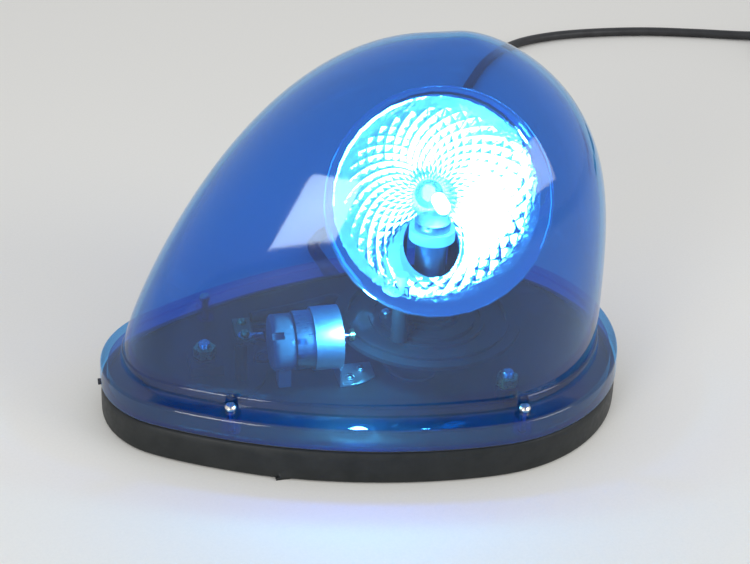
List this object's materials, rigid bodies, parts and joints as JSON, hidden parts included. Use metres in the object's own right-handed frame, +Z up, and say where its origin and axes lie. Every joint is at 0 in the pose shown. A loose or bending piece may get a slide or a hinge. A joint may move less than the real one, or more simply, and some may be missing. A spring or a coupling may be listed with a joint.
{
  "type": "beacon light",
  "caption": "Magnetic roof beacon: a clear blue teardrop lens over a rotating reflector and bulb driven by a small motor, on a black tray, with a coiled cord and lighter plug.",
  "frame": {"origin": "middle of the underside of the light itself, on the surface that it stands on", "axes": "+X towards the wide end, -X towards the teardrop's tip, +Z up; the cord leaves on the +Y side"},
  "size_m": [0.5787, 0.4682, 0.1546],
  "materials": {
    "lens_blue": "clear polished",
    "black_plastic": "satin moulded",
    "rubber": "matt",
    "steel": "bright plated",
    "brass": "bright",
    "ferrite": "plated cup",
    "white_plastic": "satin moulded",
    "mirror": "metallised, polished",
    "glass": "clear",
    "tungsten": "glowing wire",
    "red_lead": "smooth",
    "black_lead": "smooth",
    "board": "laminate"
  },
  "bodies": {
    "base": {"base_tray": "black_plastic", "lens_gasket": "rubber", "lens_dome": "lens_blue", "lens_screw_tip_near": "steel", "lens_screw_tip_far": "steel", "lens_screw_wide_near": "steel", "lens_screw_wide_far": "steel", "lamp_column": "steel", "lamp_holder": "white_plastic", "bulb_cap": "steel", "bulb_glass": "glass", "bulb_filament": "tungsten", "thrust_washer": "brass", "retaining_ring": "steel", "motor_can": "steel", "motor_end_bell": "white_plastic", "motor_clamp": "steel", "clamp_screw_a": "steel", "clamp_screw_b": "steel", "terminal_board": "board", "ring_lug": "steel", "terminal_screw_a": "brass", "terminal_screw_b": "brass", "cord_gland": "rubber", "inner_cord": "rubber", "motor_lead_live": "red_lead", "motor_lead_ground": "black_lead", "lamp_lead": "black_lead", "cord_free": "rubber", "cord_coil": "rubber", "coil_tie": "rubber", "cord_tail": "rubber", "plug_boot": "rubber", "plug_body": "black_plastic", "plug_nose": "steel", "plug_fuse": "glass", "plug_contact_a": "steel", "plug_contact_b": "steel", "magnet_cover_tip": "rubber", "magnet_tip": "ferrite", "magnet_stud_tip": "steel", "magnet_nut_tip": "brass", "magnet_cover_near": "rubber", "magnet_near": "ferrite", "magnet_stud_near": "steel", "magnet_nut_near": "brass", "magnet_cover_far": "rubber", "magnet_far": "ferrite", "magnet_stud_far": "steel", "magnet_nut_far": "brass"},
    "rotor": {"turntable": "black_plastic", "rotor_bush": "brass", "reflector_stand": "black_plastic", "reflector": "mirror", "reflector_pin": "steel", "stand_screw_a": "steel", "stand_screw_b": "steel"},
    "motor_drive": {"motor_shaft": "steel", "drive_roller": "brass"},
    "plug_plunger": {"plug_tip": "brass"}
  },
  "joints": [
    {"name": "rotor_spin", "type": "hinge", "parent": "base", "child": "rotor", "pos_m": [0.027, 0, 0.0319], "axis": [0, 0, 1], "continuous": true},
    {"name": "motor_spin", "type": "hinge", "parent": "base", "child": "motor_drive", "pos_m": [-0.0135, -0.0138, 0.0347], "axis": [1, 0, 0], "continuous": true},
    {"name": "plug_tip_press", "type": "slide", "parent": "base", "child": "plug_plunger", "axis": [0.0886, 0.9961, 0], "range_m": [0, 0.0025], "stiffness_N_per_m": 600, "springref_m": -0.004}
  ],
  "couplings": [
    {"joint": "motor_spin", "follows": "rotor_spin", "ratio": -14.14}
  ]
}
